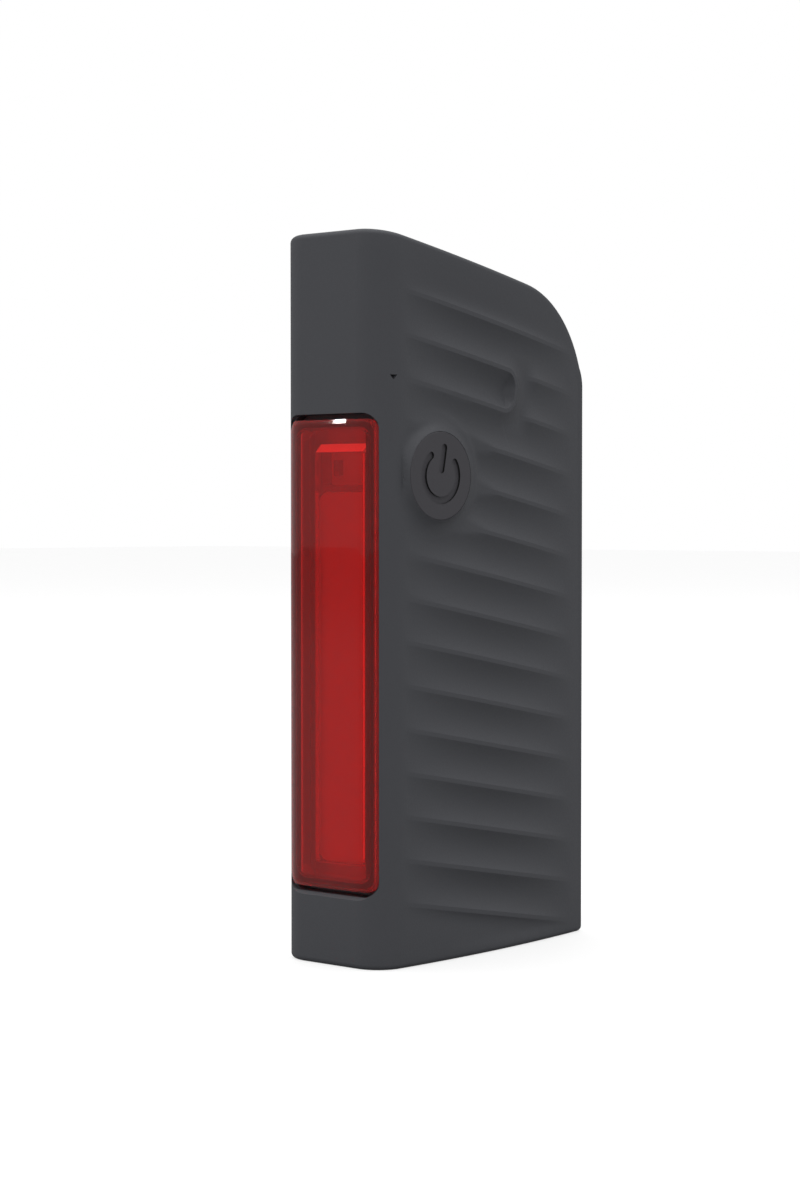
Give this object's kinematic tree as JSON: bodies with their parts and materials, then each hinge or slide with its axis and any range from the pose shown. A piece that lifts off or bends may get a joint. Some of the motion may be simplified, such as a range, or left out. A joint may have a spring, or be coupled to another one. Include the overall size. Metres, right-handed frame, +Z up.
{
  "type": "bicycle rear light",
  "caption": "Slim upright bicycle rear light: ribbed barrel-sided housing, red front lens, round side button, flap over a charging port and a rail socket at the back.",
  "frame": {"origin": "middle of the base, on the mid-plane of the bowed sides and half-way through the depth", "axes": "+X out of the side with the button, +Y to the rear (away from the lens), +Z up along the height"},
  "size_m": [0.018, 0.0382, 0.0821],
  "materials": {
    "body_plastic": "fine satin texture",
    "button_plastic": "satin",
    "red_lens": "polished, see-through",
    "clear_plastic": "polished, see-through",
    "white_plastic": "satin",
    "frame_plastic": "moulded",
    "black_rubber": "matt",
    "foam": "matt",
    "board_laminate": "satin lacquer",
    "chip_resin": "matt",
    "lamp_resin": "gloss",
    "ribbon_film": "satin",
    "lead_sleeve": "satin",
    "cell_foil": "satin foil",
    "steel": "bright",
    "brass": "bright"
  },
  "bodies": {
    "light": {"housing": "body_plastic", "rear_cover": "body_plastic", "rear_gasket": "black_rubber", "cover_screws": "steel", "screw_inserts": "brass", "lens_cover": "red_lens", "lens_gasket": "black_rubber", "light_guide": "clear_plastic", "diffuser": "white_plastic", "reflector": "white_plastic", "led_board": "board_laminate", "leds": "lamp_resin", "contact_posts": "brass", "inner_frame": "frame_plastic", "main_board": "board_laminate", "board_chips": "chip_resin", "board_screws": "steel", "led_ribbon": "ribbon_film", "switch_body": "steel", "button_retainer": "frame_plastic", "battery": "cell_foil", "battery_pad": "foam", "battery_leads": "lead_sleeve", "battery_plug": "white_plastic", "usb_socket": "steel", "usb_tongue": "chip_resin"},
    "button": {"power_button": "button_plastic", "button_seal": "black_rubber"},
    "plunger": {"switch_plunger": "white_plastic"},
    "flap": {"port_cover": "black_rubber"}
  },
  "joints": [
    {"name": "button_press", "type": "slide", "parent": "light", "child": "button", "axis": [-0.9981, 0.0613, 0], "range_m": [0, 0.0005], "stiffness_N_per_m": 3000},
    {"name": "plunger_press", "type": "slide", "parent": "light", "child": "plunger", "axis": [-1, 0, 0], "range_m": [0, 0.0005]},
    {"name": "flap_hinge", "type": "hinge", "parent": "light", "child": "flap", "pos_m": [0, 0.0092, 0.00072], "axis": [1, 0, 0], "range_deg": [0, 100]}
  ],
  "couplings": [
    {"joint": "plunger_press", "follows": "button_press", "ratio": 1}
  ]
}
